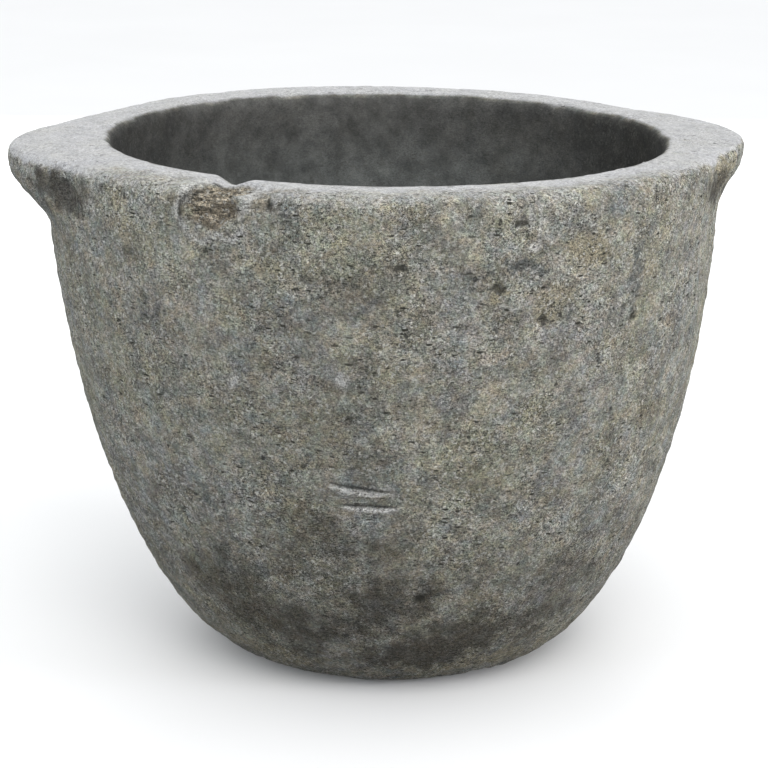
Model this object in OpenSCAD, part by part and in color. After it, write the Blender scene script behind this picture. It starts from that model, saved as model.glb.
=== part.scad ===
// Stone mortar (molcajete) with two lug handles, and its loose stone pestle (tejolote).
// The mortar stands on z = 0 with the bowl's axis on Z. The lugs point along -X and +X.

/* [Mortar] */
// Height of the mortar, which is the level of the rim
mortar_h = 220; // [200:1:240]
// Outside diameter of the rim, clear of the lugs
rim_d = 284; // [270:1:310]
// Diameter of the flat that the mortar stands on
base_d = 126; // [90:1:150]
// How quickly the wall climbs from the base: higher is a squarer foot
wall_power = 1.9; // [1.5:0.1:2.6]
// How round the foot is: lower is a fuller belly
foot_power = 0.55; // [0.45:0.05:0.8]
// Radius of the worn outer edge of the rim
rim_edge_r = 5; // [2:0.5:8]

/* [Bowl] */
// Diameter of the mouth, at the foot of its worn edge
mouth_d = 232; // [210:1:236]
// Thickness of the stone under the bowl's lowest point
floor_h = 46; // [38:1:50]
// Fullness of the bowl: 2 is a half ellipse, higher is closer to a straight-sided pot
bowl_power = 2.3; // [2:0.1:2.8]
// Radius of the worn inner edge of the rim
mouth_edge_r = 5; // [2:0.5:8]

/* [Lugs] */
// How far the left lug stands out from the rim
left_lug_out = 17; // [8:1:24]
// How far the right lug stands out from the rim
right_lug_out = 12; // [6:1:24]
// Radius of a lug's tip, seen from above
lug_tip_r = 30; // [20:1:40]
// Thickness of a lug at its tip
lug_tip_h = 10; // [6:1:14]
// How far below the rim a lug runs out into the wall
lug_drop = 30; // [22:1:40]

/* [Pestle] */
// Length of the pestle
pestle_l = 184; // [150:1:190]
// Diameter of the grinding head
head_d = 64; // [54:1:70]
// Diameter of the narrowest part of the grip
neck_d = 37; // [30:1:40]
// Diameter of the knob at the top of the grip
knob_d = 42; // [36:1:48]
// Distance from the bowl's axis to the middle of the grinding head
head_offset = 20; // [10:1:28]
// Direction that the pestle leans in, anticlockwise from +X seen from above
lean_heading = -105; // [-180:5:180]

/* [Hidden] */
$fn = 96;

stone_grey = [0.48, 0.47, 0.43];
pestle_grey = [0.40, 0.40, 0.38];

rim_r = rim_d / 2;
base_r = base_d / 2;
mouth_r = mouth_d / 2;
bowl_depth = mortar_h - floor_h;
head_r = head_d / 2;
neck_r = neck_d / 2;
knob_r = knob_d / 2;
ball_gap = pestle_l - head_r - knob_r; // between the middles of the head and the knob
neck_place = 0.62;                     // where the neck is, as a fraction of ball_gap
stand_off = 1;                         // air between the pestle and the bowl
wall_steps = 48;                       // points along each curved wall
arc_steps = 6;                         // points along each worn edge
grip_steps = 16;                       // points along each half of the pestle's grip
lug_root = 1.5;                        // how deep a lug's sides start inside the wall
under_steps = 10;                      // points along a lug's underside
under_inset = -0.3;                    // where the underside starts: 0 is the wall, 1 the tip
under_power = 1.5;                     // how hollow the underside is: 1 is a straight slope
probe_steps = 200;                     // points of the bowl tested under a resting ball

// Outside radius of the wall at a height. The exponents make the belly run flat into the base.
function wall_r(z) =
    base_r + (rim_r - base_r) * pow(1 - pow(1 - z / mortar_h, wall_power), foot_power);

// Height of the bowl's surface at a distance from the axis: a superellipse.
function bowl_z(r) =
    mortar_h - bowl_depth * pow(1 - pow(min(r / mouth_r, 1), bowl_power), 1 / bowl_power);

// Points of an arc, from one angle to another.
function arc(cx, cz, r, from, to, steps = arc_steps) =
    [for (i = [0 : steps]) let (a = from + (to - from) * i / steps)
        [cx + r * cos(a), cz + r * sin(a)]];

// Height at which the middle of a ball rests in the bowl, at a distance from the axis.
function rest_z(x, ball_r) =
    max([for (i = [0 : probe_steps]) let (r = x - ball_r + 2 * ball_r * i / probe_steps)
        bowl_z(abs(r)) + sqrt(max(ball_r * ball_r - (r - x) * (r - x), 0))]);

// Distance from the axis at which the knob meets the wall with the head at head_offset,
// found by halving the stretch between near and far.
function knob_x(near, far, turns = 24) =
    let (mid = (near + far) / 2,
         span = norm([mid + head_offset, rest_z(mid, knob_air_r) - head_z]))
    turns == 0 ? mid
        : span < ball_gap ? knob_x(mid, far, turns - 1)
        : knob_x(near, mid, turns - 1);

head_air_r = head_r + stand_off;
knob_air_r = knob_r + stand_off;
head_z = rest_z(head_offset, head_air_r);
knob_at = knob_x(0, mouth_r - knob_air_r);
lean_angle = atan2(knob_at + head_offset, rest_z(knob_at, knob_air_r) - head_z);

// Half of the mortar's section: base, wall, worn rim, then down the bowl to its lowest point.
module mortar_section() {
    wall_top = mortar_h - rim_edge_r;
    bowl_top = mortar_h - mouth_edge_r;
    least_step = 1; // keeps the bowl's first point clear of the worn edge's last
    wall = [for (i = [0 : wall_steps]) let (z = wall_top * pow(i / wall_steps, 2))
        [wall_r(z), z]];
    outer_edge = arc(wall_r(wall_top) - rim_edge_r, wall_top, rim_edge_r, 0, 90);
    inner_edge = arc(mouth_r + mouth_edge_r, bowl_top, mouth_edge_r, 90, 180);
    bowl = [for (i = [1 : wall_steps - 1]) let (r = mouth_r * cos(90 * i / wall_steps))
        if (bowl_z(r) < bowl_top - least_step) [r, bowl_z(r)]];
    polygon(concat([[0, 0]], wall, outer_edge, inner_edge, bowl, [[0, bowl_z(0)]]));
}

// Plan of a lug that points along +X: a round tip with sides that run out into the wall.
module lug_plan(reach) {
    root_r = rim_r - lug_root;
    tip_x = reach - lug_tip_r;
    spread = acos((root_r - lug_tip_r) / tip_x);
    tip = arc(tip_x, 0, lug_tip_r, -spread, spread, 2 * arc_steps);
    root = [for (turn = [spread, -spread]) root_r * [cos(turn), sin(turn)]];
    polygon(concat(tip, root));
}

// Ring round the rim whose underside sweeps up and out from inside the wall.
module lug_ring(reach) {
    inner_r = (mouth_r + mouth_edge_r + rim_r - rim_edge_r) / 2;
    outer_r = reach + 1;
    under = [for (i = [0 : under_steps])
        let (s = under_inset + (1 - under_inset) * i / under_steps,
             drop = lug_tip_h + (lug_drop - lug_tip_h) * pow(1 - s, under_power))
        [rim_r + (outer_r - rim_r) * s, mortar_h - drop]];
    rotate_extrude()
        polygon(concat([[inner_r, under[0][1]]], under,
            [[outer_r, mortar_h], [inner_r, mortar_h]]));
}

module lug(reach) {
    intersection() {
        lug_ring(reach);
        linear_extrude(mortar_h + 1) lug_plan(reach);
    }
}

module mortar() {
    color(stone_grey) {
        rotate_extrude() mortar_section();
        rotate([0, 0, 180]) lug(rim_r + left_lug_out);
        lug(rim_r + right_lug_out);
    }
}

// Half of the pestle's section, standing on its head with the head's middle at the origin.
module pestle_section() {
    neck_z = neck_place * ball_gap;
    head = arc(0, 0, head_r, -90, 0, grip_steps);
    taper = [for (i = [1 : grip_steps]) let (s = i / grip_steps)
        [neck_r + (head_r - neck_r) * (1 + cos(180 * s)) / 2, neck_z * s]];
    flare = [for (i = [1 : grip_steps]) let (s = i / grip_steps)
        [neck_r + (knob_r - neck_r) * (1 - cos(180 * s)) / 2,
         neck_z + (ball_gap - neck_z) * s]];
    knob = arc(0, ball_gap, knob_r, 0, 90, grip_steps);
    inner_head = [for (i = [1 : grip_steps]) head[i]];
    inner_knob = [for (i = [1 : grip_steps - 1]) knob[i]];
    polygon(concat([[0, -head_r]], inner_head, taper, flare, inner_knob,
        [[0, ball_gap + knob_r]]));
}

// The pestle leans in the bowl: its head near the middle of the floor, its knob on the wall.
module pestle() {
    color(pestle_grey)
        rotate([0, 0, lean_heading])
            translate([-head_offset, 0, head_z])
                rotate([0, lean_angle, 0])
                    rotate_extrude() pestle_section();
}

mortar();
pestle();
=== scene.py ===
"""Looks for the stone mortar and its loose pestle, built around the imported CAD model.

Shapes are worked out in millimetres in the row frame and scaled to metres when a mesh is made.
A heading is an angle about +Z from +X. A turn is a heading measured from the side that faces the
camera, in degrees, with right positive.
"""

import itertools
import math

import bpy
import numpy as np
from mathutils import Euler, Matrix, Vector, noise


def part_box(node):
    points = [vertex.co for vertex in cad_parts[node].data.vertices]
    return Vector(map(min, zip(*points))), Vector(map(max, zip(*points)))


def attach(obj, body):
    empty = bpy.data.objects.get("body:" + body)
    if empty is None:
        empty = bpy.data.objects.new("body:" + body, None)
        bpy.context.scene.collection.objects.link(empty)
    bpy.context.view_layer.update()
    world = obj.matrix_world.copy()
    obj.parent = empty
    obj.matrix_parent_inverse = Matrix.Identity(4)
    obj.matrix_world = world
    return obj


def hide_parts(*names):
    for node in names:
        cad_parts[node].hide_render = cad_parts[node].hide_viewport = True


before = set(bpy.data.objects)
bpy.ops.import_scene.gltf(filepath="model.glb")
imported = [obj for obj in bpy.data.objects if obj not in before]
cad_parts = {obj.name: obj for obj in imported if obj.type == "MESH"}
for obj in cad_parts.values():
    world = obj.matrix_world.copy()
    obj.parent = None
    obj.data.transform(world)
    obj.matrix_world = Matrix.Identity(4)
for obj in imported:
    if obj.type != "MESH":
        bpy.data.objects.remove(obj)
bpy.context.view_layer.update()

MM = 0.001
FACING = -97.5  # heading of the side that faces the camera

# The mortar's section, as in the CAD model.
mortar_low, mortar_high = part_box("mortar")
HEIGHT = mortar_high.z / MM
RIM_R = mortar_high.y / MM
LEFT_REACH = -mortar_low.x / MM
RIGHT_REACH = mortar_high.x / MM
BASE_R = 63.0
MOUTH_R = 116.0
FLOOR_Z = 46.0
WALL_POWER = 1.9
FOOT_POWER = 0.55
BOWL_POWER = 2.3

# Wear and hand work that the CAD model leaves out.
INSET = 0.7  # keeps the uneven stone inside the CAD box
HIGHEST = HEIGHT - 0.05  # the rim is no higher than this before it is made uneven
RIM_DROP = 0.7  # how far the rim lies below the CAD model's on average
RIM_TILT = 0.84  # how much lower still it is on the left, and higher on the right
RIM_SAG = 1.06  # how much lower it is at both lugs, and higher between them
LEAN = 2.4  # how far the foot stands to the right of the middle, and the rim to the left
EDGE_FRONT = 6.0  # radius of the rim's outside edge at the front
EDGE_BACK = 2.4
MOUTH_EDGE_FRONT = 1.4  # radius of the mouth's edge at the front
MOUTH_EDGE_BACK = 6.0
MOUTH_RISE = 0.75  # share of the rim's drop that the mouth's edge is spared
LUGS = (
    # heading, degrees to where it runs out, reach, depth of its furthest place, further depth to
    # where it runs out, radius of the rim's edge at its tip
    (177.0, 33.0, LEFT_REACH - RIM_R - 2.1, 8.0, 25.0, 4.0),
    (3.2, 31.5, RIGHT_REACH - RIM_R + 2.6, 6.0, 21.0, 2.6),
)

# The mesh. Columns run up the wall, and are closer together at the front.
COLUMNS = 480
FRONT_CROWD = 0.3
WALL_STEP = 2.0
RIM_STEP = 1.4
RIM_BAND = 36.0  # height of the wall below the rim that has the rim's row spacing
NICK_STEP = 0.8
NICK_BAND = (91.0, 109.0)
BOWL_STEP = 3.6
NARROW_BOWL_R = 60.0  # where the bowl is narrower than this, its rings have half the points
WALL_TOP = HEIGHT - 5.0  # the wall's rows are spaced up to here, then stretched to the rim's edge
EDGE_ROWS = 6
RIM_ROWS = 14
MOUTH_ROWS = 5
BASE_RADII = (10.0, 22.0, 34.0, 45.0, 54.0, 60.0)
CURVE_POINTS = 4001  # points on a curve that rows are then spaced along

# The bake map: a strip for the wall, and a disc, given by its middle and radius, for each end.
MAP_EDGE = 0.01
STRIP_WIDTH = 0.98
STRIP_HEIGHT = 0.36
BASE_DISC = ((0.81, 0.62), 0.17)
BOWL_DISC = ((0.31, 0.69), 0.30)

# The pestle, as in the CAD model.
HEAD_R = 32.0
KNOB_R = 21.0
NECK_R = 18.5
NECK_PLACE = 0.62
PESTLE_COLUMNS = 112
PESTLE_STEP = 1.7


def smooth(low, high, value):
    """0 below low, 1 above high, and an S-shaped step between them."""
    t = np.clip((value - low) / (high - low), 0, 1)
    return t * t * (3 - 2 * t)


def fractal(points, size, octaves=3, seed=0.0, stretch=(1, 1, 1)):
    """Noise about zero, mostly within 1 either way. Its largest features are size mm across."""
    scaled = points / (size * np.array(stretch)) + seed * np.array([13.7, 7.9, 31.3])
    return np.array([noise.fractal(p, 1.0, 2.0, octaves) for p in scaled.tolist()])


def wall_r(z):
    """Outside radius of the mortar at a height."""
    share = 1 - np.power(1 - np.clip(z / HEIGHT, 0, 1), WALL_POWER)
    return BASE_R + (RIM_R - BASE_R) * np.power(share, FOOT_POWER)


def bowl_r(z):
    """Radius of the bowl at a height."""
    depth = np.clip((HEIGHT - z) / (HEIGHT - FLOOR_Z), 0, 1)
    return MOUTH_R * np.power(1 - np.power(depth, BOWL_POWER), 1 / BOWL_POWER)


def evenly(r, z, step):
    """Heights along a curve of points r, z, so that neighbours are step(z) apart along it."""
    lengths = np.hypot(np.diff(r), np.diff(z))
    middles = (z[1:] + z[:-1]) / 2
    travel = np.concatenate([[0], np.cumsum(lengths / step(middles))])
    wanted = np.linspace(0, travel[-1], int(round(travel[-1])) + 1)
    return np.interp(wanted, travel, z)


def wall_step(z):
    """Row spacing up the wall: finer at the tool nicks and near the rim."""
    low, high = NICK_BAND
    step = np.where((z > low) & (z < high), NICK_STEP, WALL_STEP)
    return np.where(z > HEIGHT - RIM_BAND, RIM_STEP, step)


# ---------------------------------------------------------------- rings of the mortar


def column_headings(count):
    """Headings of a ring's points in radians."""
    even = np.arange(count) * 2 * np.pi / count
    return even - FRONT_CROWD * np.cos(even)


def swing(heading, towards):
    """Angle in degrees between headings, from 0 to 180."""
    turn = np.degrees(heading) - towards
    return np.abs((turn + 180) % 360 - 180)


def lug_share(heading, towards, width):
    """1 at a lug's tip, falling to 0 where it has run out into the rim."""
    turn = np.minimum(swing(heading, towards) / width, 1)
    return (1 + np.cos(np.pi * turn)) / 2


def outer_r(heading, z, top):
    """Outside radius with the lugs, which swell out of the wall just below the rim."""
    r = wall_r(z) - INSET
    for towards, width, reach, furthest, run_out, _ in LUGS:
        depth = np.clip((top - z - furthest) / run_out, 0, 1)
        r = r + reach * lug_share(heading, towards, width) * (1 + np.cos(np.pi * depth)) / 2
    return r


def rim_top(heading):
    """Height of the rim, which is worn lower towards both lugs, most on the left."""
    turn = heading - math.radians(FACING + 90)
    top = HEIGHT - RIM_DROP + RIM_TILT * np.cos(turn) - RIM_SAG * np.cos(2 * turn)
    return np.minimum(top, HIGHEST)


def lean(z):
    """How far to the camera's right the handmade body stands at a height."""
    return LEAN - 2 * LEAN * z / HEIGHT


def mortar_rings():
    """Rings from the middle of the base, up the wall, over the rim and down the bowl.

    Each is a tuple: zone, headings, points. The bowl has fewer columns than the wall.
    """
    fine = column_headings(COLUMNS)
    coarse = fine[::2]
    sparse = fine[::4]
    rings = []

    def add(zone, headings, r, z, shift):
        sideways = math.radians(FACING + 90)
        x = r * np.cos(headings) + shift * math.cos(sideways)
        y = r * np.sin(headings) + shift * math.sin(sideways)
        rings.append((zone, headings, np.stack([x, y, np.broadcast_to(z, x.shape)], axis=1)))

    for r in BASE_RADII:
        add("base", coarse, np.full(len(coarse), r), 0.0, lean(0))

    top = rim_top(fine)
    back = (1 + np.sin(fine)) / 2
    edge = EDGE_FRONT + (EDGE_BACK - EDGE_FRONT) * back
    for towards, width, _, _, _, edge_at_tip in LUGS:
        edge = edge + (edge_at_tip - edge) * lug_share(fine, towards, width)
    edge_z = top - edge
    dense_z = np.linspace(0, 1, CURVE_POINTS) ** 2 * WALL_TOP
    for z in evenly(wall_r(dense_z), dense_z, wall_step):
        height = z * edge_z / WALL_TOP
        add("wall", fine, outer_r(fine, height, top), height, lean(height))

    edge_r = outer_r(fine, edge_z, top) - edge
    for turn in np.linspace(0, np.pi / 2, EDGE_ROWS + 1)[1:]:
        height = edge_z + edge * math.sin(turn)
        add("wall", fine, edge_r + edge * math.cos(turn), height, lean(height))

    mouth_edge = MOUTH_EDGE_FRONT + (MOUTH_EDGE_BACK - MOUTH_EDGE_FRONT) * back
    mouth_top = top + MOUTH_RISE * (HIGHEST - top)
    for share in np.linspace(1, 0, RIM_ROWS + 1)[1:]:
        r = MOUTH_R + mouth_edge + (edge_r - MOUTH_R - mouth_edge) * share
        add("wall", fine, r, mouth_top + (top - mouth_top) * share, lean(top) * share)

    for turn in np.linspace(0, np.pi / 2, MOUTH_ROWS + 1)[1:]:
        r = MOUTH_R + mouth_edge * (1 - math.sin(turn))
        add("wall", fine, r, mouth_top - mouth_edge * (1 - math.cos(turn)), 0.0)

    bowl_top = HEIGHT - MOUTH_EDGE_FRONT
    dense_z = bowl_top - np.linspace(0, 1, CURVE_POINTS) ** 0.5 * (bowl_top - FLOOR_Z)
    rows = evenly(bowl_r(dense_z), dense_z, lambda z: np.full(len(z), BOWL_STEP))
    for z in rows[1:-1]:
        narrow = bowl_r(z) < NARROW_BOWL_R
        headings = sparse if narrow else coarse
        start = (mouth_top - mouth_edge)[:: 4 if narrow else 2]
        share = (z - FLOOR_Z) / (bowl_top - FLOOR_Z)
        height = FLOOR_Z + (start - FLOOR_Z) * share
        add("bowl", headings, bowl_r(height), height, 0.0)
    return rings


# ---------------------------------------------------------------- meshes from rings


def ring_mesh(name, rings, first, last):
    """A closed mesh through rings of points, from the point first to the point last.

    Each ring is (zone, headings, points), and neighbouring rings have equal point counts or one
    has twice the other's. The bake map lays the zone "wall" out flat and the others as discs.
    """
    points = [first]
    starts = []
    for _, _, ring in rings:
        starts.append(len(points))
        points.extend(ring)
    points.append(last)

    travel = np.zeros(len(rings))
    for i in range(1, len(rings)):
        near, far = rings[i - 1][2], rings[i][2]
        travel[i] = travel[i - 1] + np.linalg.norm(far[0] - near[0])

    faces = []
    zones = []
    for i in range(1, len(rings)):
        low, high = len(rings[i - 1][1]), len(rings[i][1])
        for c in range(min(low, high)):
            zones.append(rings[i][0])
            if low == high:
                corners = [(i - 1, c), (i - 1, c + 1), (i, c + 1), (i, c)]
            elif low > high:
                corners = [(i - 1, 2 * c), (i - 1, 2 * c + 1), (i - 1, 2 * c + 2)]
                corners += [(i, c + 1), (i, c)]
            else:
                corners = [(i - 1, c), (i - 1, c + 1), (i, 2 * c + 2)]
                corners += [(i, 2 * c + 1), (i, 2 * c)]
            faces.append(corners)

    def vertex(corner):
        ring, column = corner
        return starts[ring] + column % len(rings[ring][1])

    polygons = [[vertex(corner) for corner in face] for face in faces]
    for ring, tip in ((0, 0), (len(rings) - 1, len(points) - 1)):
        count = len(rings[ring][1])
        for c in range(count):
            pair = [(ring, c), (ring, c + 1)]
            if tip == 0:
                pair.reverse()
            faces.append([*pair, None])
            zones.append(rings[ring][0])
            polygons.append([vertex(pair[0]), vertex(pair[1]), tip])

    mesh = bpy.data.meshes.new(name)
    mesh.from_pydata([tuple(p) for p in points], [], polygons)
    mesh.polygons.foreach_set("use_smooth", [True] * len(polygons))
    add_bake_map(mesh, rings, travel, faces, zones)
    return mesh


def add_bake_map(mesh, rings, travel, faces, zones):
    """A UV layer: the wall as a strip along the bottom, and one disc above it for each end."""
    walls = [i for i, ring in enumerate(rings) if ring[0] == "wall"]
    base_end, bowl_start = walls[0], walls[-1]
    strip_length = travel[bowl_start] - travel[base_end]
    bowl_length = travel[-1] - travel[bowl_start]
    discs = {
        "base": (BASE_DISC[0], BASE_DISC[1] / max(travel[base_end], 1)),
        "bowl": (BOWL_DISC[0], BOWL_DISC[1] / max(bowl_length, 1)),
    }
    values = []
    for face, zone in zip(faces, zones):
        for corner in face:
            if corner is not None:
                ring, column = corner
                heading = rings[ring][1][column % len(rings[ring][1])]
            if zone == "wall":
                across = column / len(rings[ring][1])
                along = (travel[ring] - travel[base_end]) / strip_length
                values += [MAP_EDGE + STRIP_WIDTH * across, MAP_EDGE + STRIP_HEIGHT * along]
                continue
            (u, v), scale = discs[zone]
            if corner is None:
                reach = 0
            elif zone == "bowl":
                reach = (travel[-1] - travel[ring]) * scale
            else:
                reach = travel[ring] * scale
            values += [u + reach * math.cos(heading), v + reach * math.sin(heading)]
    layer = mesh.uv_layers.new(name="OFBake")
    layer.data.foreach_set("uv", values)


def read_points(mesh):
    """Positions in mm and normals of a mesh's vertices."""
    points = np.zeros(len(mesh.vertices) * 3)
    mesh.vertices.foreach_get("co", points)
    normals = np.zeros(len(mesh.vertices) * 3)
    mesh.vertex_normals.foreach_get("vector", normals)
    return points.reshape(-1, 3), normals.reshape(-1, 3)


def write_points(mesh, points):
    """Sets a mesh's vertices from positions in mm."""
    mesh.vertices.foreach_set("co", (points * MM).ravel())
    mesh.update()


def paint(mesh, name, values):
    """Stores one number per vertex, from 0 to 1, for the material to read."""
    layer = mesh.attributes.new(name, "FLOAT", "POINT")
    layer.data.foreach_set("value", np.clip(values, 0, 1).astype(np.float32))


# ---------------------------------------------------------------- marks on the mortar

PATCH_DEPTH = 18.0  # a patch on the wall doesn't reach stone that lies further in than this
SCRATCH_DEPTH = 10.0

# Single places: turn, height, width, rise.
CHIP = (-27.2, 213.0, 13.5, 10.0)
CHIP_SIDE = (-19.6, 216.0, 6.5, 6.0)
CHIP_DIP = (-22.0, 221.0, 15.0, 13.0)
CHIP_BORDER = (-27.4, 212.0, 17.0, 13.0)
LUG_HOLLOW = (-61.0, 205.5, 15.0, 9.0)

LUG_HOLLOW_DEPTH = 2.2
MOUTH_DIP_TURN = -29.3
MOUTH_DIP = 2.6
DEEPEST_UNDERNEATH = 0.6

# The uneven surface all over: depth, size, octaves, seed.
FORM = ((0.4, 75.0, 2, 1.0), (0.25, 30.0, 2, 2.0))
PECKED = ((0.34, 9.0, 3, 6.0), (0.42, 4.5, 2, 7.0))
# Scattered pits: size of their cells, share of the cells that have one, depth, seed.
PIT_FIELDS = ((17.0, 0.45, 0.9, 1.0), (9.0, 0.30, 0.6, 2.0))
PESTLE_PITS = (9.0, 0.5, 0.7, 3.0)

# Heights between which the rubbed rim starts, and the painted shade towards the foot thickens
# downwards.
RUBBED_BAND = (200.0, 214.0)
FOOT_SHADE_BAND = (125.0, 45.0)
FOOT_SHADE = 0.36


def local(points, turn, height):
    """Coordinates about a place on the wall: along it, up it and out of it, in mm."""
    a = math.radians(FACING + turn)
    r = float(wall_r(np.array(height)))
    offset = points - np.array([r * math.cos(a), r * math.sin(a), height])
    along = -offset[:, 0] * math.sin(a) + offset[:, 1] * math.cos(a)
    out = offset[:, 0] * math.cos(a) + offset[:, 1] * math.sin(a)
    return along, offset[:, 2], out


def patch(points, turn, height, width, rise, ragged=0.0, seed=1.0):
    """1 in the middle of an oval place on the wall, 0 at its edge and beyond.

    A ragged edge wanders by up to that share of the place's size.
    """
    along, up, out = local(points, turn, height)
    near = (np.abs(along) < 2.5 * width) & (np.abs(up) < 2.5 * rise) & (out > -PATCH_DEPTH)
    share = np.zeros(len(points))
    away = np.hypot(along[near] / width, up[near] / rise)
    if ragged:
        away = away + ragged * fractal(points[near], 0.7 * min(width, rise), 3, seed)
    share[near] = np.clip(1 - away, 0, 1)
    return share


def patches(points, table, ragged, seed, soft=0.7):
    """The strongest of many patches. A row holds a turn, height, width, rise and strength."""
    most = np.zeros(len(points))
    for i, (turn, height, width, rise, strength) in enumerate(table):
        share = patch(points, turn, height, width, rise, ragged, seed + i)
        most = np.maximum(most, strength * smooth(0, soft, share))
    return most


def chip_dent(points):
    """Depth of the broken place on the rim's front left, and how freshly broken it is."""
    main = smooth(0, 0.3, patch(points, *CHIP, 0.25, 3.0))
    second = smooth(0, 0.5, patch(points, *CHIP_SIDE, 0.35, 4.0))
    dip = smooth(0, 0.9, patch(points, *CHIP_DIP))
    layers = fractal(points, 6.0, 4, 5.0, stretch=(1.8, 1.8, 0.45))
    depth = main * (3.1 + 1.8 * layers) + second * (1.3 + 0.9 * layers) + 1.9 * dip
    return depth, np.maximum(main, 0.5 * second)


NICKS = (
    # start turn, start height, end turn, end height, sag, width, depth
    (-9.6, 106.4, 0.9, 103.0, 0.3, 2.4, 1.8),
    (-7.4, 97.2, 2.9, 96.5, 0.2, 2.1, 1.6),
)


def nick_dent(points):
    """Depth of the two tool nicks, the painted highlight on the lip below each, and the painted
    shadow along its top.
    """
    depth = np.zeros(len(points))
    lip = np.zeros(len(points))
    line = np.zeros(len(points))
    for start, start_z, end, end_z, sag, width, deepest in NICKS:
        along, up, out = local(points, (start + end) / 2, (start_z + end_z) / 2)
        share = along / (math.radians(end - start) / 2 * RIM_R * 0.9)
        middle = (end_z - start_z) / 2 * share + sag * (share**2 - 0.4)
        taper = np.sqrt(np.clip(1 - share**2, 0, 1)) * (out > -SCRATCH_DEPTH)
        below = (middle - up) / (width * np.maximum(taper, 0.2))
        depth += deepest * taper * smooth(-0.28, 0.12, below) * (1 - smooth(0.12, 1.15, below))
        # The lip below each nick gets a painted highlight, and its top a thin painted shadow.
        lower = smooth(0.35, 0.7, below) * (1 - smooth(1.0, 1.45, below))
        lip = np.maximum(lip, smooth(0, 0.5, taper) * lower)
        line = np.maximum(line, smooth(0, 0.7, taper) * np.exp(-(((below - 0.02) / 0.19) ** 2)))
    return depth, lip, line


PITS = (
    # turn, height, width, rise, depth
    (20.6, 209.5, 3.2, 2.0, 1.2),
    (21.2, 193.1, 5.0, 2.4, 0.5),
    (2.0, 193.5, 3.8, 2.0, 1.3),
    (25.2, 171.7, 3.2, 2.6, 1.4),
    (-13.6, 112.6, 2.6, 1.6, 0.9),
    (7.8, 53.2, 3.4, 2.6, 1.2),
    (-28.3, 196.0, 2.0, 1.8, 0.9),
    (17.4, 184.9, 5.2, 2.6, 1.4),
    (-5.4, 133.0, 3.0, 2.2, 0.6),
    (-35.1, 117.1, 2.4, 2.8, 0.7),
    (44.0, 166.0, 2.8, 2.8, 1.3),
    (34.0, 140.0, 2.0, 1.8, 0.8),
    (-17.9, 215.0, 1.6, 3.0, 1.0),
    (41.5, 171.5, 1.8, 2.2, 0.9),
    (-44.0, 190.0, 2.2, 1.8, 0.8),
    (130.0, 150.0, 3.0, 2.4, 0.9),
    (-150.0, 120.0, 3.4, 2.6, 1.0),
    (85.0, 96.0, 2.8, 2.4, 0.9),
    (-100.0, 170.0, 2.6, 2.2, 0.9),
)
# Dark patches: charcoal and dirt, and painted shade under the lugs.
SOOT_AND_SHADE = (
    # turn, height, width, rise, darkness
    (9.0, 25.0, 26.0, 12.0, 0.75),
    (20.0, 34.0, 30.0, 14.0, 0.52),
    (38.0, 36.0, 22.0, 12.0, 0.40),
    (2.0, 52.0, 26.0, 18.0, 0.42),
    (-22.0, 36.0, 44.0, 18.0, 0.42),
    (-34.0, 52.0, 38.0, 26.0, 0.36),
    (42.0, 56.0, 26.0, 16.0, 0.25),
    (-6.0, 126.0, 18.0, 38.0, 0.28),
    (-5.0, 187.0, 28.0, 20.0, 0.38),
    (-8.0, 80.0, 40.0, 20.0, 0.34),
    (-36.0, 150.0, 28.0, 36.0, 0.30),
    (-40.4, 168.5, 12.0, 14.0, 0.32),
    (11.0, 172.0, 28.0, 12.0, 0.22),
    # Painted shade under the left lug, in this row and the next, and under the right lug, in the
    # third.
    (-63.0, 206.0, 32.0, 11.0, 0.88),
    (-85.0, 199.0, 24.0, 9.0, 0.60),
    (74.0, 206.0, 26.0, 9.0, 0.85),
    (130.0, 40.0, 70.0, 26.0, 0.45),
    (170.0, 70.0, 60.0, 34.0, 0.32),
    (100.0, 50.0, 50.0, 26.0, 0.36),
    (-110.0, 80.0, 50.0, 40.0, 0.34),
    (-160.0, 30.0, 60.0, 20.0, 0.50),
)
STREAKS = (
    # turn, height, width, rise, strength: dark blue-grey
    (20.6, 193.6, 9.0, 4.0, 1.00),
    (23.5, 191.0, 7.0, 3.4, 0.80),
    (43.8, 184.0, 5.0, 24.0, 0.60),
    (39.0, 172.0, 4.0, 16.0, 0.40),
    (28.0, 158.0, 9.0, 14.0, 0.35),
    (-46.0, 150.0, 9.0, 34.0, 0.35),
    (-58.0, 170.0, 8.0, 30.0, 0.35),
    (-24.0, 140.0, 8.0, 30.0, 0.25),
    (110.0, 160.0, 7.0, 40.0, 0.50),
    (165.0, 150.0, 9.0, 46.0, 0.45),
    (-130.0, 150.0, 8.0, 44.0, 0.45),
)
OCHRES = (
    # turn, height, width, rise, strength: buff and brown
    (33.0, 196.0, 16.0, 12.0, 0.70),
    (27.0, 178.0, 14.0, 12.0, 0.50),
    (17.4, 182.5, 6.0, 4.5, 0.90),
    (47.0, 190.0, 9.0, 20.0, 0.45),
    (-16.0, 192.0, 22.0, 12.0, 0.35),
    (-43.0, 197.0, 16.0, 10.0, 0.40),
    (-53.0, 208.0, 5.0, 9.0, 0.45),
    (78.0, 211.0, 20.0, 9.0, 0.80),
    (-32.0, 16.0, 40.0, 7.0, 0.60),
    (30.0, 14.0, 40.0, 6.0, 0.60),
    (120.0, 190.0, 26.0, 16.0, 0.60),
    (-120.0, 120.0, 30.0, 24.0, 0.40),
    (175.0, 110.0, 34.0, 26.0, 0.45),
)
SPOTS = (
    # turn, height, width, rise, strength: bare pale stone
    (-24.9, 145.3, 3.4, 3.2, 1.0),
    (-7.0, 149.7, 3.4, 3.2, 1.0),
    (22.6, 200.0, 4.0, 2.6, 0.8),
    (25.0, 205.0, 2.6, 1.6, 0.6),
    (23.0, 190.0, 1.6, 1.2, 0.8),
    (140.0, 130.0, 2.6, 2.0, 0.8),
    (-95.0, 140.0, 2.2, 2.4, 0.8),
    (-53.0, 208.0, 2.2, 9.0, 0.6),
)


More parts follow.
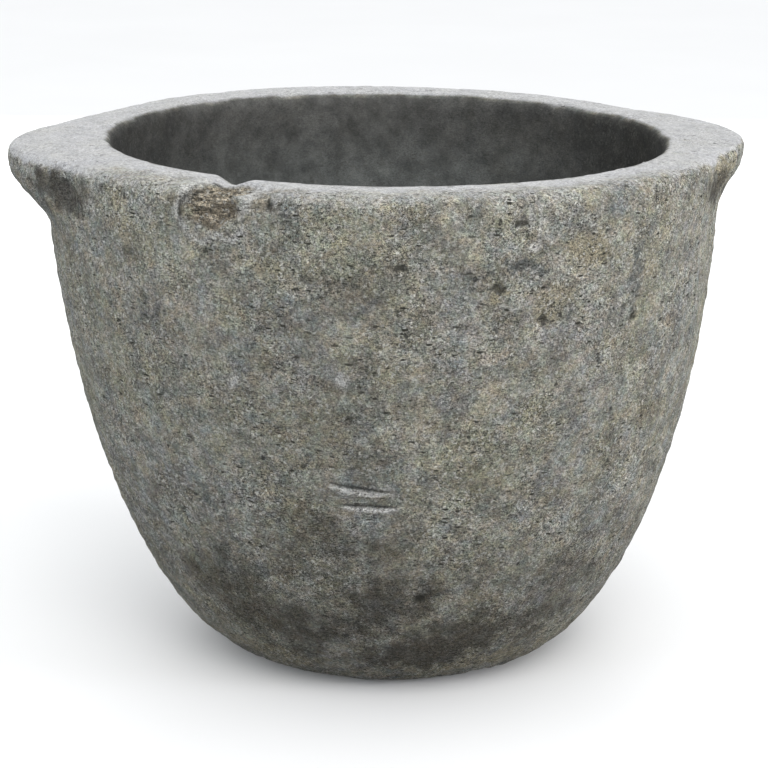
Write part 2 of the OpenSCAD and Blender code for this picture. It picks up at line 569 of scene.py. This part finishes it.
CHIP_CRACKS_AND_SHADE = (
    # turn, height, width, rise, darkness: clefts at the broken place's sides, and painted shade
    # along its top
    (-32.6, 211.0, 1.3, 6.0, 1.0),
    (-31.0, 217.0, 3.0, 1.4, 0.9),
    (-26.0, 218.0, 4.0, 1.2, 0.7),
    (-22.0, 210.0, 1.2, 4.0, 0.6),
    (-17.9, 215.0, 1.6, 3.2, 1.0),
)
SCRATCHES = (
    # turn, lower end, upper end: two scratches below the rim
    (22.2, 205.0, 217.0),
    (23.8, 197.0, 218.0),
)


def lattice_luck(cells, seed):
    """Five random numbers from 0 to 1 for each lattice cell, always the same for one seed."""
    keys = np.array(
        [
            [127.1, 311.7, 74.7],
            [269.5, 183.3, 246.1],
            [113.5, 271.9, 124.6],
            [419.2, 371.9, 216.1],
            [93.9, 67.3, 157.7],
        ]
    )
    return np.mod(np.sin(cells @ keys.T + seed * 12.9898) * 43758.5453, 1)


def scattered_pits(points, size, fullness, deepest, seed):
    """Depth of small uneven pits, at most one to each lattice cell of size mm."""
    wander = [fractal(points, 0.3 * size, 2, seed + 50 + i) for i in range(3)]
    bent = points + 0.06 * size * np.stack(wander, axis=1)
    depth = np.zeros(len(points))
    home = np.floor(bent / size)
    for step in itertools.product((-1, 0, 1), repeat=3):
        cells = home + np.array(step)
        luck = lattice_luck(cells, seed)
        centres = (cells + 0.5 + 0.6 * (luck[:, :3] - 0.5)) * size
        radius = size * (0.06 + 0.12 * luck[:, 3] ** 3)
        away = np.linalg.norm((bent - centres) * np.array([1, 1, 1.4]), axis=1) / radius
        bowl = np.sqrt(np.clip(1 - away**2, 0, 1)) * radius / (0.18 * size)
        depth = np.maximum(depth, deepest * bowl * (luck[:, 4] < fullness))
    return depth


def summed(points, layers):
    """Noise of several sizes added up. A layer holds a depth, size, octaves and seed."""
    return sum(depth * fractal(points, *layer) for depth, *layer in layers)


def bowl_share(points):
    """1 on the bowl's wall and floor and 0 elsewhere, with a border that wanders at its mouth."""
    r = np.hypot(points[:, 0], points[:, 1])
    heading = np.arctan2(points[:, 1], points[:, 0])
    half_way = (bowl_r(points[:, 2]) + wall_r(points[:, 2])) / 2
    limit = np.minimum(MOUTH_R + 2.2 + 0.8 * np.sin(heading), half_way)
    inside = smooth(1.6, -1.6, r - limit + 1.2 * fractal(points, 9.0, 3, 14.0))
    return inside * (points[:, 2] > FLOOR_Z - 1)


def hand_finish(points, normals, inside):
    """Depth of the whole uneven surface, and of the small pits in it. The rim is smoothest."""
    flatness = smooth(0.2, 0.8, normals[:, 2])
    rim = (1 - inside) * flatness * smooth(HEIGHT - 30, HEIGHT - 14, points[:, 2])
    roughness = 1 - 0.75 * rim - 0.55 * inside
    pits = np.maximum(*(scattered_pits(points, *field) for field in PIT_FIELDS))
    pits = pits * (1 - 0.95 * rim) * (1 - 0.5 * inside)
    edge = np.exp(-(((normals[:, 2] - 0.6) / 0.3) ** 2)) * (points[:, 2] > HEIGHT - 12)
    nibbled = edge * np.clip(fractal(points, 7.0, 3, 8.0) - 0.1, 0, 1) * 1.8
    uneven = -summed(points, FORM) - roughness * summed(points, PECKED)
    return uneven + pits + nibbled * (1 - inside), pits


def mouth_dip(points):
    """How far the mouth's edge has sunk where the broken place reaches it."""
    along, up, out = local(points, MOUTH_DIP_TURN, HEIGHT)
    across = smooth(9.5, 1.0, np.abs(along + 0.6 * fractal(points, 6.0, 2, 16.0)))
    near_side = out > -RIM_R / 2
    return MOUTH_DIP * across * smooth(-8, -22, out) * near_side * smooth(-16, -2, up)


def pale_marks(points):
    """Scrapes that show pale: two scratches below the rim, the chip's border and a few spots."""
    pale = patches(points, SPOTS, 0.4, 110.0, 0.5)
    for turn, low, high in SCRATCHES:
        along, up, out = local(points, turn, (low + high) / 2)
        reach = smooth(1, 0.7, np.abs(up) / ((high - low) / 2))
        along = along + 0.8 * fractal(points, 6.0, 2, 15.0)
        scratch = 0.6 * reach * smooth(1.3, 0.4, np.abs(along)) * (out > -SCRATCH_DEPTH)
        pale = np.maximum(pale, scratch)
    border = patch(points, *CHIP_BORDER, 0.25, 3.0)
    ring = smooth(0.0, 0.10, border) * smooth(0.30, 0.16, border)
    return np.maximum(pale, 0.8 * ring)


def keep_in_box(points):
    """Holds points inside the CAD mortar's box."""
    low = np.array(mortar_low) / MM
    high = np.array(mortar_high) / MM
    return np.clip(points, low, high)


def rubbed_share(rest, points, normals):
    """Where hands have rubbed the rim pale: most on the left, and at the front only near the mouth.

    Rest holds the same points as they were before the surface was made uneven.
    """
    left = smooth(20, -60, points[:, 0])
    ragged = fractal(points, 10.0, 4, 9.0)
    worn = smooth(0.15, 0.95, normals[:, 2] + 0.35 * ragged + 0.30 * (left - 0.4))
    worn = worn * smooth(*RUBBED_BAND, points[:, 2])
    heading = np.arctan2(rest[:, 1], rest[:, 0])
    front = smooth(0.42, 0.66, np.cos(heading - math.radians(FACING)))
    across = (np.hypot(rest[:, 0], rest[:, 1]) - MOUTH_R) / (RIM_R - MOUTH_R)
    return worn * (1 - 0.60 * front * smooth(0.15, 0.65, across + 0.25 * ragged))


def side_shade_share(rest):
    """How far round to the bowl's left or right a point lies, for the painted shade in its side
    corners. The left side counts for less.
    """
    heading = np.arctan2(rest[:, 1], rest[:, 0])
    sideways = np.cos(heading - math.radians(FACING + 90))
    return np.where(sideways > 0, np.abs(sideways) ** 1.6, 0.75 * np.abs(sideways) ** 3)


def build_mortar():
    """The mortar as one closed mesh with its wear, tool marks and stains, and the places of its
    painted shade and highlights.
    """
    first = np.array([lean(0), 0.0, 0.0])
    last = np.array([0.0, 0.0, FLOOR_Z])
    mesh = ring_mesh("mortar_stone", mortar_rings(), first, last)
    rest, normals = read_points(mesh)

    inside = bowl_share(rest)
    outside = 1 - inside
    finish, pits = hand_finish(rest, normals, inside)
    chip, fresh = chip_dent(rest)
    nick, lip, line = nick_dent(rest)
    known = patches(rest, PITS, 0.35, 20.0, 0.6)
    hollow_under_lug = LUG_HOLLOW_DEPTH * smooth(0, 0.8, patch(rest, *LUG_HOLLOW))
    dent = finish + outside * (chip + nick + known + hollow_under_lug)
    dent = np.where(inside > 0.5, np.maximum(dent, 0), dent)

    points = rest - normals * dent[:, None]
    points[:, 2] = points[:, 2] - mouth_dip(points)
    underside = rest[:, 2] < 0.01
    points[:, 2] = np.where(underside, np.clip(dent, 0, DEEPEST_UNDERNEATH), points[:, 2])
    points = keep_in_box(points)
    write_points(mesh, points)

    paint(mesh, "worn", rubbed_share(rest, points, normals) * outside * (1 - fresh))
    paint(mesh, "fresh", fresh)
    # Painted highlight on the nicks' lips, and exposed pale stone at the scratches, the spots and
    # the chip's border.
    paint(mesh, "lip", lip + pale_marks(points))
    # Painted shadow above the nicks and along the top of the broken place, and clefts at its sides.
    paint(mesh, "line", np.maximum(line, patches(points, CHIP_CRACKS_AND_SHADE, 0.5, 100.0, 0.6)))
    # Painted shade that darkens the wall towards the foot.
    foot = FOOT_SHADE * smooth(*FOOT_SHADE_BAND, points[:, 2])
    paint(mesh, "soot_and_shade", foot + patches(points, SOOT_AND_SHADE, 0.5, 40.0))
    paint(mesh, "streak", patches(points, STREAKS, 0.5, 60.0))
    paint(mesh, "ochre", patches(points, OCHRES, 0.5, 80.0))
    # Painted shade at the bottoms of the pits.
    paint(mesh, "hollow", np.maximum(0.6 * pits, 1.1 * known))
    paint(mesh, "inside", inside)
    # Painted shade in the bowl's left and right corners.
    paint(mesh, "corner", inside * side_shade_share(rest))
    paint(mesh, "deep", inside * smooth(HEIGHT - 5, HEIGHT - 75, points[:, 2]))
    return mesh


# ---------------------------------------------------------------- the pestle


def pestle_ends():
    """Middles of the head and the knob. The head sets three sides of its box, the knob the rest."""
    low, high = (np.array(corner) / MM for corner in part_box("pestle"))
    head = np.array([high[0] - HEAD_R, high[1] - HEAD_R, low[2] + HEAD_R])
    knob = np.array([low[0] + KNOB_R, low[1] + KNOB_R, high[2] - KNOB_R])
    return head, knob


def pestle_r(t, gap):
    """Radius of the pestle at a distance along it from the head's middle."""
    neck = NECK_PLACE * gap
    taper = NECK_R + (HEAD_R - NECK_R) * (1 + np.cos(np.pi * t / neck)) / 2
    flare = NECK_R + (KNOB_R - NECK_R) * (1 - np.cos(np.pi * (t - neck) / (gap - neck))) / 2
    head = np.sqrt(np.clip(HEAD_R**2 - t**2, 0, None))
    knob = np.sqrt(np.clip(KNOB_R**2 - (t - gap) ** 2, 0, None))
    grip = np.where(t < neck, taper, flare)
    return np.where(t < 0, head, np.where(t > gap, knob, grip))


def build_pestle():
    """The pestle as one closed mesh, leaning as it does in the CAD model."""
    head, knob = pestle_ends()
    gap = np.linalg.norm(knob - head)
    axis = (knob - head) / gap
    side = np.cross([0, 0, 1], axis)
    side /= np.linalg.norm(side)
    other = np.cross(axis, side)

    turn = np.linspace(0, np.pi, CURVE_POINTS)
    middle = (gap + KNOB_R - HEAD_R) / 2
    dense = middle - (gap + KNOB_R + HEAD_R) / 2 * np.cos(turn)
    rows = evenly(pestle_r(dense, gap), dense, lambda t: np.full(len(t), PESTLE_STEP))
    headings = np.arange(PESTLE_COLUMNS) * 2 * np.pi / PESTLE_COLUMNS
    rings = []
    for t in rows[1:-1]:
        r = pestle_r(np.array(t), gap)
        zone = "base" if t < -0.75 * HEAD_R else "bowl" if t > gap + 0.75 * KNOB_R else "wall"
        across = np.outer(np.cos(headings), side) + np.outer(np.sin(headings), other)
        rings.append((zone, headings, head + axis * t + r * across))
    mesh = ring_mesh("pestle_stone", rings, head - axis * HEAD_R, knob + axis * KNOB_R)
    points, normals = read_points(mesh)

    along = (points - head) @ axis
    polished = smooth(0.35 * HEAD_R, -0.2 * HEAD_R, along)
    dent = 0.35 - 0.35 * fractal(points, 38.0, 2, 11.0)
    dent += (1 - 0.7 * polished) * (0.2 - 0.3 * fractal(points, 8.0, 3, 12.0))
    pits = scattered_pits(points, *PESTLE_PITS)
    dent += (1 - 0.4 * polished) * pits
    write_points(mesh, points - normals * np.clip(dent, 0, None)[:, None])
    paint(mesh, "worn", 0.35 * polished)
    paint(mesh, "soot_and_shade", 0.5 * smooth(0.1, 0.7, fractal(points, 24.0, 3, 13.0)))
    # Painted shade at the bottoms of the pits.
    paint(mesh, "hollow", pits)
    return mesh


# ---------------------------------------------------------------- materials


class Graph:
    """Adds shader nodes to a material and joins them up."""

    def __init__(self, name):
        self.material = bpy.data.materials.new(name)
        self.material.use_nodes = True
        self.tree = self.material.node_tree
        self.tree.nodes.clear()

    def node(self, kind, inputs=None, **settings):
        """A node with its settings and inputs. An input is a value or another node's socket."""
        made = self.tree.nodes.new("ShaderNode" + kind)
        for key, value in settings.items():
            setattr(made, key, value)
        for key, value in (inputs or {}).items():
            if isinstance(value, bpy.types.NodeSocket):
                self.tree.links.new(value, made.inputs[key])
            else:
                made.inputs[key].default_value = value
        return made

    def math(self, operation, a, b=0.0, c=0.0):
        """One number worked out from others."""
        inputs = {0: a, 1: b, 2: c}
        return self.node("Math", inputs, operation=operation).outputs[0]

    def ramp(self, value, low, high, from_value=0.0, to_value=1.0):
        """Value stretched smoothly from the range low to high onto another range."""
        inputs = {"Value": value, 1: low, 2: high, 3: from_value, 4: to_value}
        made = self.node("MapRange", inputs, interpolation_type="SMOOTHSTEP")
        return made.outputs["Result"]

    def mix(self, share, a, b):
        """Two colours mixed."""
        made = self.node("Mix", {0: share, 6: a, 7: b}, data_type="RGBA", clamp_factor=True)
        return made.outputs[2]

    def shade(self, colour, amount):
        """A colour made lighter or darker by a number."""
        three = self.node("CombineColor", {0: amount, 1: amount, 2: amount}).outputs[0]
        inputs = {0: 1.0, 6: colour, 7: three}
        return self.node("Mix", inputs, data_type="RGBA", blend_type="MULTIPLY").outputs[2]

    def noise(self, where, size, detail=3.0, roughness=0.55):
        """Smooth noise from 0 to 1 with features of size mm."""
        inputs = {"Vector": where, "Scale": 1 / (size * MM), "Detail": detail}
        inputs["Roughness"] = roughness
        return self.node("TexNoise", inputs).outputs["Fac"]

    def tint(self, colour, share, a, b):
        """A colour multiplied by a mix of two others."""
        inputs = {0: 1.0, 6: colour, 7: self.mix(share, a, b)}
        return self.node("Mix", inputs, data_type="RGBA", blend_type="MULTIPLY").outputs[2]

    def cells(self, where, size):
        """Random cells of size mm: the distance from each one's middle, and its own colour."""
        inputs = {"Vector": where, "Scale": 1 / (size * MM), "Randomness": 1.0}
        made = self.node("TexVoronoi", inputs)
        return made.outputs["Distance"], made.outputs["Color"]

    def holes(self, where, size, sizes, edge):
        """Scattered round holes, at most one to each cell of size mm.

        Sizes are the share of cells that have none, and the largest radius. Edge is where a hole
        starts and where it is full, measured outwards from its radius, and how dark it then is.
        Radii and edges are shares of a cell.
        """
        distance, luck = self.cells(where, size)
        empty, radius = sizes
        start, full, strength = edge
        lottery = self.node("SeparateColor", {0: luck}).outputs[0]
        hole_radius = self.ramp(lottery, empty, 1.0, 0.0, radius)
        return self.ramp(self.math("SUBTRACT", distance, hole_radius), start, full, 0.0, strength)

    def bent(self, where, size, amount):
        """Places pushed about by up to half of amount mm, which makes cells uneven."""
        inputs = {"Vector": where, "Scale": 1 / (size * MM), "Detail": 2.0}
        push = self.node("TexNoise", inputs).outputs["Color"]
        inputs = {0: push, 1: (amount * MM,) * 3, 2: where}
        return self.node("VectorMath", inputs, operation="MULTIPLY_ADD").outputs[0]

    def attribute(self, name):
        """A number stored on the mesh by paint()."""
        return self.node("Attribute", attribute_name=name).outputs["Fac"]


def grey(value, warmth=0.0):
    """A near-grey colour. Warmth above 0 is olive and then buff."""
    return (value * (1 + 0.25 * warmth), value * (1 + 0.15 * warmth), value * (1 - warmth), 1)


def slate(value):
    """A cold grey, slightly green."""
    return (value * 0.91, value * 0.99, value * 0.98, 1)


def mottled(g, where, mid):
    """Broad patches, from blue-grey to buff, with streaks that run down the wall."""
    stretched = g.node("Mapping", {"Vector": where, "Scale": (1.0, 1.0, 0.22)}).outputs[0]
    broad = g.ramp(g.noise(where, 40.0, 4.0), 0.36, 0.64)
    streak = g.ramp(g.noise(stretched, 15.0, 4.0, 0.6), 0.50, 0.68)
    colour = g.mix(broad, grey(mid * 0.98, 0.08), grey(mid, 0.19))
    colour = g.mix(g.math("MULTIPLY", streak, 0.6), colour, slate(mid * 0.78))
    mottle = g.ramp(g.noise(where, 9.0, 3.0, 0.6), 0.42, 0.68, 0.0, 0.6)
    colour = g.mix(mottle, colour, (mid * 1.12, mid * 1.03, mid * 0.78, 1))
    cool = g.ramp(g.noise(g.bent(where, 9.0, 8.0), 11.0, 3.0, 0.6), 0.50, 0.72, 0.0, 0.65)
    colour = g.mix(cool, colour, slate(mid * 0.82))
    colour = g.shade(colour, g.ramp(g.noise(where, 14.0, 4.0, 0.65), 0.30, 0.70, 0.68, 1.30))
    colour = g.shade(colour, g.ramp(g.noise(where, 4.2, 3.0, 0.6), 0.28, 0.72, 0.80, 1.20))
    warm = g.ramp(g.noise(where, 6.5, 4.0, 0.75), 0.38, 0.62)
    colour = g.tint(colour, warm, (0.955, 1.0, 1.06, 1), (1.045, 1.0, 0.93, 1))
    pink = g.ramp(g.noise(where, 5.0, 4.0, 0.75), 0.38, 0.62)
    colour = g.tint(colour, pink, (0.975, 1.025, 0.985, 1), (1.025, 0.975, 1.015, 1))
    return colour, mottle


def stained(g, colour, where, rough_noise, mid):
    """Brown and blue-grey stains, with ragged borders."""
    ragged = g.math("MULTIPLY", g.noise(where, 7.0, 4.0, 0.65), 0.9)
    ochre = g.ramp(g.math("ADD", g.attribute("ochre"), ragged), 0.50, 1.20, 0.0, 0.8)
    brown = (mid * 0.98, mid * 0.78, mid * 0.50, 1)
    colour = g.mix(ochre, colour, g.mix(rough_noise, brown, grey(mid * 1.15, 0.26)))
    stain = g.ramp(g.math("ADD", g.attribute("streak"), ragged), 0.52, 1.15, 0.0, 0.85)
    return g.mix(stain, colour, slate(mid * 0.40))


def rubbed(g, colour, where, rough_noise, pale):
    """The rim and lugs, rubbed pale by hands."""
    speckle = g.math("MULTIPLY", rough_noise, 0.5)
    speckle = g.math("MULTIPLY_ADD", g.noise(where, 1.2, 2.0), 0.6, speckle)
    rub = g.ramp(g.math("ADD", g.attribute("worn"), speckle), 0.62, 1.35)
    bright = g.mix(g.noise(where, 20.0, 3.0), grey(pale * 1.10, -0.06), grey(pale * 0.95, 0.05))
    bright = g.shade(bright, g.ramp(g.noise(where, 10.0, 4.0, 0.6), 0.28, 0.62, 0.86, 1.05))
    return g.mix(rub, colour, bright), rub


def darkened_bowl(g, colour, where, inside, mid):
    """The bowl, darker than the outside and lighter low down, with painted shade darkest in its
    left and right corners.
    """
    deep_grey = g.mix(g.attribute("deep"), grey(mid * 0.24, 0.04), slate(mid * 0.56))
    # Painted shade in the bowl's side corners.
    deep_grey = g.mix(g.attribute("corner"), deep_grey, grey(mid * 0.05, 0.05))
    blotched = g.ramp(g.noise(where, 12.0, 4.0, 0.7), 0.35, 0.68, 0.76, 1.38)
    return g.mix(g.math("MULTIPLY", inside, 0.97), colour, g.shade(deep_grey, blotched))


def broken(g, colour, where, rough_noise):
    """The broken place, brown and layered, the exposed pale stone of its border, and the painted
    highlight on the nicks' lips.
    """
    flattened = g.node("Mapping", {"Vector": where, "Scale": (0.6, 0.6, 2.0)}).outputs[0]
    layers = g.ramp(g.noise(flattened, 3.6, 4.0, 0.65), 0.38, 0.62)
    brown = g.mix(layers, (0.150, 0.125, 0.090, 1), (0.480, 0.410, 0.310, 1))
    fresh = g.ramp(g.attribute("fresh"), 0.15, 0.75)
    colour = g.mix(g.math("MULTIPLY", fresh, 0.9), colour, brown)
    # Exposed pale stone, and the painted highlight below the nicks.
    bare_and_lit = g.math("MULTIPLY", g.attribute("lip"), g.ramp(rough_noise, 0.25, 0.50, 0.75, 0.95))
    return g.mix(bare_and_lit, colour, grey(0.56, 0.02)), g.math("MULTIPLY", layers, fresh)


def sooty_and_shaded(g, colour, where):
    """Charcoal and dirt, and painted shade under the lugs and towards the foot, thickest round the
    foot.
    """
    patchy = g.math("MULTIPLY", g.noise(where, 6.0, 5.0, 0.65), 0.9)
    grime_and_shade = g.ramp(g.math("ADD", g.attribute("soot_and_shade"), patchy), 0.50, 1.45, 0.0, 0.86)
    return g.mix(grime_and_shade, colour, (0.044, 0.037, 0.028, 1)), grime_and_shade


def grained(g, colour, where, show, clean, mid):
    """Grains of about 1 mm, some dark, some buff and some pale."""
    _, grain = g.cells(g.bent(where, 0.9, 1.1), 1.1)
    pick = g.node("SeparateColor", {0: grain})
    dark_grain = g.math("MULTIPLY", g.ramp(pick.outputs[0], 0.34, 0.04, 0.0, 0.60), show)
    pale_grain = g.math("MULTIPLY", g.ramp(pick.outputs[1], 0.74, 0.98, 0.0, 0.55), clean)
    buff_grain = g.math("MULTIPLY", g.ramp(pick.outputs[2], 0.72, 0.95, 0.0, 0.32), clean)
    colour = g.mix(dark_grain, colour, grey(mid * 0.36, 0.10))
    colour = g.mix(buff_grain, colour, (mid * 1.20, mid * 1.06, mid * 0.78, 1))
    return g.mix(pale_grain, colour, grey(mid * 1.85, 0.05))


def sand_shade_and_highlight(g, colour, where, fine, show, extra):
    """Sand-fine relief, with painted shade in the hollows between the grains and a painted
    highlight on their tops.
    """
    light = g.math("MULTIPLY_ADD", g.ramp(fine, 0.32, 0.68, -0.62, 0.70), show, 1.0)
    grit = g.ramp(g.noise(where, 0.42, 1.0), 0.34, 0.66, -0.42, 0.46)
    light = g.math("MULTIPLY_ADD", grit, g.math("MULTIPLY", show, show), light)
    return g.shade(colour, g.math("MULTIPLY_ADD", extra, 0.35, light))


def clefted(g, colour, where, flat_grain, show, mid):
    """Short dark clefts, painted as shade under the grain's ridges, and dark specks, longer along
    the wall than up it.
    """
    cleft_noise = g.noise(g.bent(flat_grain, 4.0, 3.0), 3.2, 2.0, 0.5)
    # Painted shade in the clefts.
    cleft = g.ramp(g.math("ABSOLUTE", g.math("SUBTRACT", cleft_noise, 0.5)), 0.020, 0.004)
    cleft = g.math("MULTIPLY", cleft, g.ramp(g.noise(where, 6.0, 2.0), 0.55, 0.66, 0.0, 0.7))
    long_grain = g.node("Mapping", {"Vector": where, "Scale": (0.45, 0.45, 1.35)}).outputs[0]
    specks = g.holes(g.bent(long_grain, 1.5, 1.6), 2.2, (0.45, 0.28), (0.02, -0.06, 0.92))
    cleft = g.math("MULTIPLY", g.math("MAXIMUM", cleft, specks), show)
    return g.mix(cleft, colour, grey(mid * 0.15, 0.18)), cleft


def pored(g, colour, where, mid):
    """Painted shade in open pores too small for the mesh and at the bottoms of the pits.

    Also the dark lines: clefts, and painted shadow along the top of the broken place and the nicks.
    """
    # Painted shade in open pores.
    hole = g.holes(g.bent(where, 2.2, 3.0), 8.5, (0.55, 0.13), (0.025, -0.035, 0.8))
    colour = g.mix(hole, colour, grey(mid * 0.12, 0.05))
    # Painted shade at the bottoms of the pits.
    deep = g.ramp(g.attribute("hollow"), 0.20, 0.95, 0.0, 0.8)
    colour = g.mix(deep, colour, grey(mid * 0.12, 0.16))
    line = g.math("MULTIPLY", g.attribute("line"), 0.9)
    return g.mix(line, colour, grey(mid * 0.09, 0.15)), hole


def stone_material(name, mid, pale):
    """Fine-grained volcanic stone with mottling, grains, pits, worn places and stains, and painted
    shade and highlights.
    """
    g = Graph(name)
    where = g.node("TexCoord").outputs["Object"]
    rough_noise = g.noise(where, 3.0, 3.0)
    inside = g.attribute("inside")

    colour, mottle = mottled(g, where, mid)
    colour = stained(g, colour, where, rough_noise, mid)
    colour, rub = rubbed(g, colour, where, rough_noise, pale)
    colour = darkened_bowl(g, colour, where, inside, mid)
    colour, layers = broken(g, colour, where, rough_noise)
    colour, grime_and_shade = sooty_and_shaded(g, colour, where)

    # Smooth places show the grain less, and dirty places and places of painted shade show no pale
    # grains.
    show = g.math("MULTIPLY_ADD", inside, -0.62, g.math("MULTIPLY_ADD", rub, -0.50, 1.0))
    show = g.math("MULTIPLY", show, g.ramp(g.noise(where, 24.0, 3.0), 0.34, 0.66, 0.80, 1.15))
    clean = g.math("MULTIPLY", show, g.math("SUBTRACT", 1.0, g.math("MAXIMUM", grime_and_shade, inside)))
    flat_grain = g.node("Mapping", {"Vector": where, "Scale": (0.85, 0.85, 1.3)}).outputs[0]
    fine = g.noise(flat_grain, 0.9, 4.0, 0.8)
    colour = grained(g, colour, where, show, clean, mid)
    colour = sand_shade_and_highlight(g, colour, where, fine, show, g.math("MULTIPLY", inside, mottle))
    colour, cleft = clefted(g, colour, where, flat_grain, show, mid)
    colour, hole = pored(g, colour, where, mid)

    # The same relief raised.
    relief = g.math("MULTIPLY", g.noise(where, 4.0, 4.0, 0.6), 2.4)
    for part, height in ((fine, 1.5), (hole, -1.4), (cleft, -1.0), (layers, 2.5)):
        relief = g.math("MULTIPLY_ADD", part, height, relief)
    strength = g.ramp(show, 0.3, 1.0, 0.35, 1.0)
    bump = g.node("Bump", {"Height": relief, "Distance": 0.6 * MM, "Strength": strength})

    gloss = g.ramp(rub, 0.0, 1.0, 0.92, 0.72)
    gloss = g.math("MULTIPLY_ADD", g.noise(where, 2.0, 2.0), 0.08, gloss)
    inputs = {"Base Color": colour, "Roughness": gloss, "Normal": bump.outputs[0]}
    shader = g.node("BsdfPrincipled", inputs)
    shader.inputs["Specular IOR Level"].default_value = 0.3
    g.node("OutputMaterial", {"Surface": shader.outputs[0]})
    return g.material


def floor_material():
    """Near-white studio floor with the faintest unevenness."""
    g = Graph("floor_paper")
    where = g.node("TexCoord").outputs["Object"]
    share = g.noise(where, 240.0, 2.0)
    colour = g.mix(share, (0.88, 0.88, 0.88, 1), (0.92, 0.92, 0.92, 1))
    shader = g.node("BsdfPrincipled", {"Base Color": colour, "Roughness": 0.9})
    shader.inputs["Specular IOR Level"].default_value = 0.1
    g.node("OutputMaterial", {"Surface": shader.outputs[0]})
    return g.material


# ---------------------------------------------------------------- studio

# In metres and watts.
FLOOR_HALF = 20.0
FLOOR_GAP = 0.3 * MM  # between the floor and the stone that stands on it
SKY_LEVELS = {"From Min": -0.05, "From Max": 0.25, "To Min": 0.12, "To Max": 1.08}
SOFTBOXES = (
    # name, location, target, size, power, colour
    ("key", (0.15, -1.3, 1.35), (0, 0, 0.15), 1.0, 10.2, (1.0, 0.98, 0.95)),
    ("right", (1.1, -0.5, 0.25), (0, 0, 0.12), 0.3, 7.0, (0.96, 0.96, 1.0)),
    ("left", (-1.1, -0.6, 0.30), (0, 0, 0.12), 0.4, 3.6, (0.86, 0.92, 1.0)),
    ("back", (0.1, 1.3, 0.45), (0, 0, 0.10), 0.8, 5.0, (1.0, 1.0, 1.0)),
)

# The camera, before it is swung round to face the front. The lens and sensor are in mm.
LENS = 105.93
SENSOR = 36.0
CAMERA_PLACE = (-0.00032, -0.94515, 0.3776)
LOOK_DOWN = 15.788
ROLL = 0.764


def add_object(name, mesh, material):
    """A new object in the scene that shows a mesh in one material."""
    mesh.materials.append(material)
    piece = bpy.data.objects.new(name, mesh)
    bpy.context.scene.collection.objects.link(piece)
    return piece


def add_floor():
    """A wide pale floor that lights the stone less than a real one, as in soft overhead light."""
    half = FLOOR_HALF
    corners = [(-half, -half, 0), (half, -half, 0), (half, half, 0), (-half, half, 0)]
    mesh = bpy.data.meshes.new("floor")
    mesh.from_pydata(corners, [], [(0, 1, 2, 3)])
    floor = add_object("floor", mesh, floor_material())
    floor.location.z = -FLOOR_GAP
    floor.visible_diffuse = False


def add_world():
    """Soft light from the whole sky, strongest from above."""
    world = bpy.data.worlds.new("studio")
    world.use_nodes = True
    tree = world.node_tree
    tree.nodes.clear()
    where = tree.nodes.new("ShaderNodeTexCoord")
    split = tree.nodes.new("ShaderNodeSeparateXYZ")
    level = tree.nodes.new("ShaderNodeMapRange")
    for key, value in SKY_LEVELS.items():
        level.inputs[key].default_value = value
    sky = tree.nodes.new("ShaderNodeBackground")
    sky.inputs["Color"].default_value = (0.97, 0.985, 1.0, 1)
    output = tree.nodes.new("ShaderNodeOutputWorld")
    tree.links.new(where.outputs["Generated"], split.inputs[0])
    tree.links.new(split.outputs["Z"], level.inputs["Value"])
    tree.links.new(level.outputs["Result"], sky.inputs["Strength"])
    tree.links.new(sky.outputs[0], output.inputs[0])
    bpy.context.scene.world = world


def add_softbox(name, location, target, size, power, colour):
    """A square area light that faces a point and stays out of the picture."""
    lamp = bpy.data.lights.new(name, "AREA")
    lamp.size = size
    lamp.energy = power
    lamp.color = colour
    light = bpy.data.objects.new(name, lamp)
    light.location = location
    light.visible_camera = False
    aim = Vector(target) - Vector(location)
    light.rotation_euler = aim.to_track_quat("-Z", "Y").to_euler()
    bpy.context.scene.collection.objects.link(light)


def add_camera():
    """A long lens, a little above the rim, that faces the front."""
    data = bpy.data.cameras.new("camera")
    data.sensor_width = SENSOR
    data.lens = LENS
    camera = bpy.data.objects.new("camera", data)
    round_to = Euler((0, 0, math.radians(FACING + 90))).to_matrix()
    tip = Euler((math.radians(90 - LOOK_DOWN), 0, 0)).to_matrix()
    roll = Euler((0, 0, math.radians(ROLL))).to_matrix()
    camera.location = round_to @ Vector(CAMERA_PLACE)
    camera.rotation_euler = (round_to @ tip @ roll).to_euler()
    bpy.context.scene.collection.objects.link(camera)
    bpy.context.scene.camera = camera


add_camera()
add_world()
add_floor()
for softbox in SOFTBOXES:
    add_softbox(*softbox)

mortar = add_object("mortar_stone", build_mortar(), stone_material("mortar_basalt", 0.288, 0.43))
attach(mortar, "mortar_body")
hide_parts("mortar")

pestle = add_object("pestle_stone", build_pestle(), stone_material("pestle_basalt", 0.19, 0.30))
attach(pestle, "pestle_body")
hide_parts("pestle")

bpy.context.scene.view_settings.view_transform = "Standard"
